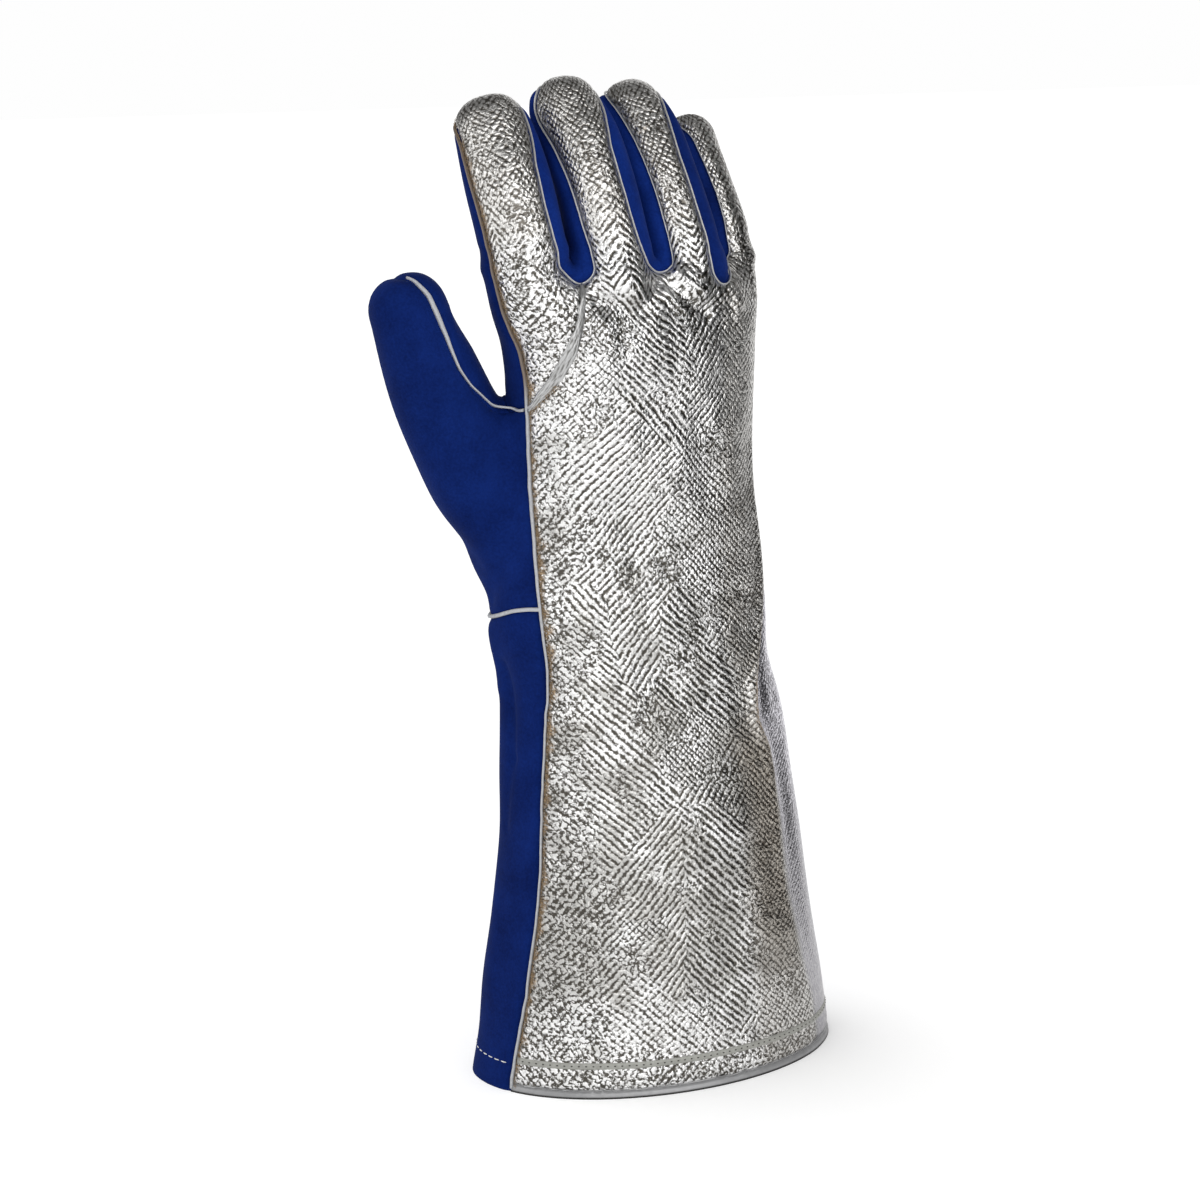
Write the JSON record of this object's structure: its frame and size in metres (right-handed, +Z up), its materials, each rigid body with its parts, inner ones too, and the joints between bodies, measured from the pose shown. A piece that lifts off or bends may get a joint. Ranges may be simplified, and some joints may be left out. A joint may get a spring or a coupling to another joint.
{
  "type": "aluminized glove",
  "caption": "Right-hand heat-resistant gauntlet with an aluminized cloth back, blue split leather palm, thumb and cuff, and light seam welts, standing on its open cuff.",
  "frame": {"origin": "middle of the glove's bounding box, on the surface that the cuff stands on", "axes": "+Z up from the cuff to the fingertips, -Y out of the back of the hand, -X to the thumb"},
  "size_m": [0.2162, 0.1, 0.4441],
  "materials": {
    "aluminized_cloth": "silver foil over a coarse embossed weave, bright glints on warm dark grey",
    "blue_split_leather": "dyed split cowhide with a short suede nap, matte",
    "welt_leather": "smooth light grey leather piping, matte",
    "hem_binding": "smooth grey rolled edge",
    "hem_tape": "smooth grey sewn band"
  },
  "bodies": {
    "root": {"back_panel": "aluminized_cloth", "index_back": "aluminized_cloth", "hem_edge": "hem_binding", "hem_tape": "hem_tape", "palm": "blue_split_leather", "thumb_back": "blue_split_leather", "thumb_front": "blue_split_leather", "cuff_leather": "blue_split_leather", "fourchette_index_middle": "blue_split_leather", "fourchette_middle_ring": "blue_split_leather", "fourchette_ring_little": "blue_split_leather", "side_welt": "welt_leather", "thumb_welt": "welt_leather", "wrist_welt": "welt_leather", "index_welt": "welt_leather"}
  },
  "joints": []
}
